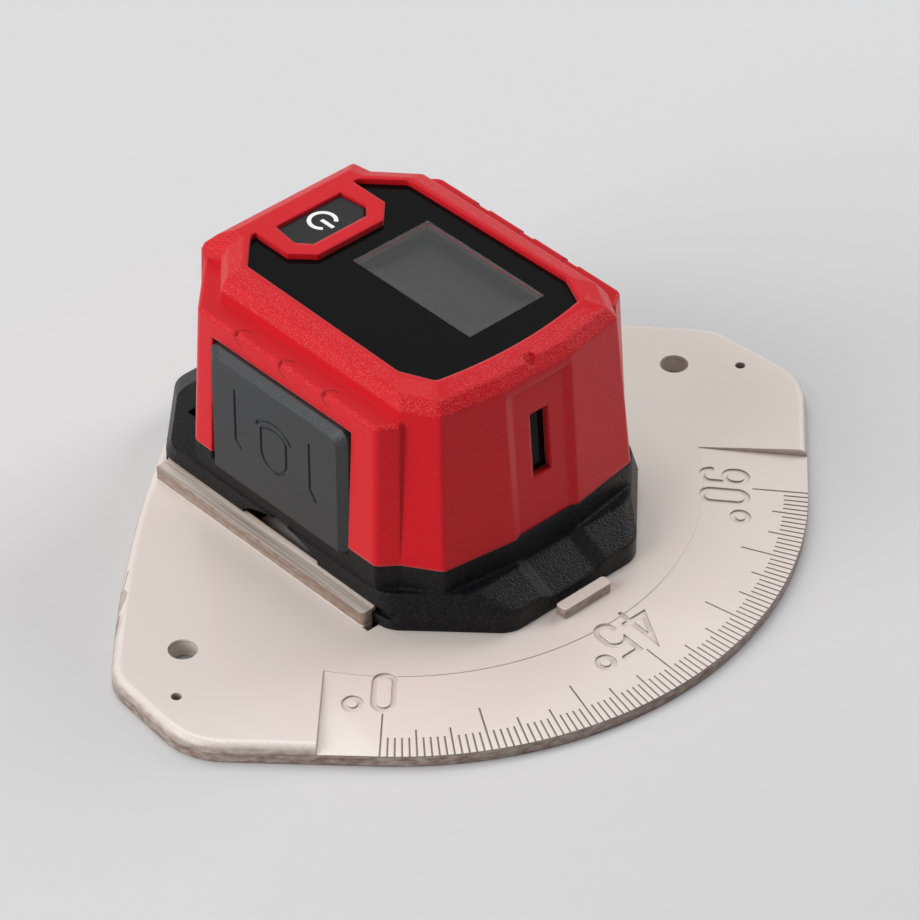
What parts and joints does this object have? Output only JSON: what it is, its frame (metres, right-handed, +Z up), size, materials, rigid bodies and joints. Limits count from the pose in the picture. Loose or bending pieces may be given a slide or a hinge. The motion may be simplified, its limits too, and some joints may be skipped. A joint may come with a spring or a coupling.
{
  "type": "digital level",
  "caption": "Pocket digital level with display, line laser and squeeze pads, held in the rails of a clear protractor plate with a 0 to 90 degree scale; slides off its plate",
  "frame": {"origin": "on the protractor plate's underside, under the centre of the degree scale, midway between the rails", "axes": "+Z up; -Y the front, where the laser looks and the 45 degree mark lies; +X the side of the 90 degree mark"},
  "size_m": [0.1728, 0.1456, 0.0583],
  "materials": {
    "plate_plastic": "translucent champagne polycarbonate, polished faces, frosted edge",
    "base_plastic": "black, fine spark texture",
    "housing_plastic": "saturated red ABS, satin walls, spark-textured bevels",
    "panel_plastic": "black, smooth",
    "window_clear": "clear smoky acrylic",
    "lcd_grey": "dark grey display glass",
    "frame_black": "black moulded",
    "silicone": "layered conductive silicone",
    "board_green": "solder-masked board",
    "chip_black": "moulded epoxy",
    "button_black": "black, satin",
    "pad_grey": "dark grey, fine grain",
    "screw_steel": "zinc plated",
    "contact_nickel": "nickel plated spring steel",
    "cell_wrap": "plain wrapped can",
    "barrel_brass": "turned",
    "lens_clear": "polished",
    "flex_amber": "polyimide film",
    "pane_dark": "dark filter acrylic"
  },
  "bodies": {
    "plate": {"protractor_plate": "plate_plastic"},
    "power_button": {"power_button": "button_black", "power_plunger": "frame_black"},
    "pad_right": {"pad_right": "pad_grey", "pad_plunger_right": "frame_black"},
    "pad_left": {"pad_left": "pad_grey", "pad_plunger_left": "frame_black"},
    "battery_door": {"battery_door": "housing_plastic", "door_contact": "contact_nickel"},
    "level": {"lower_base": "base_plastic", "upper_housing": "housing_plastic", "top_panel": "panel_plastic", "display_window": "window_clear", "lcd_glass": "lcd_grey", "lcd_frame": "frame_black", "zebra_strips": "silicone", "main_board": "board_green", "board_chips": "chip_black", "board_screws": "screw_steel", "power_switch": "chip_black", "pad_switches": "chip_black", "battery_cells": "cell_wrap", "chassis": "frame_black", "front_contacts": "contact_nickel", "door_hinge_pin": "screw_steel", "laser_barrel": "barrel_brass", "line_lens": "lens_clear", "laser_diode": "contact_nickel", "laser_flex": "flex_amber", "laser_clamp": "frame_black", "clamp_screws": "screw_steel", "laser_pane": "pane_dark", "housing_screws": "screw_steel"}
  },
  "joints": [
    {"name": "level_slide", "type": "slide", "parent": "plate", "child": "level", "axis": [0, 1, 0], "range_m": [0, 0.068]},
    {"name": "power_press", "type": "slide", "parent": "level", "child": "power_button", "axis": [0, 0, -1], "range_m": [0, 0.0006], "stiffness_N_per_m": 3000, "springref_m": -0.0003},
    {"name": "pad_right_press", "type": "slide", "parent": "level", "child": "pad_right", "axis": [-1, 0, 0], "range_m": [0, 0.0012], "stiffness_N_per_m": 2500, "springref_m": -0.0004},
    {"name": "pad_left_press", "type": "slide", "parent": "level", "child": "pad_left", "axis": [1, 0, 0], "range_m": [0, 0.0012], "stiffness_N_per_m": 2500, "springref_m": -0.0004},
    {"name": "door_swing", "type": "hinge", "parent": "level", "child": "battery_door", "pos_m": [0, 0.0366, 0.0209], "axis": [-1, 0, 0], "range_deg": [0, 90]}
  ]
}
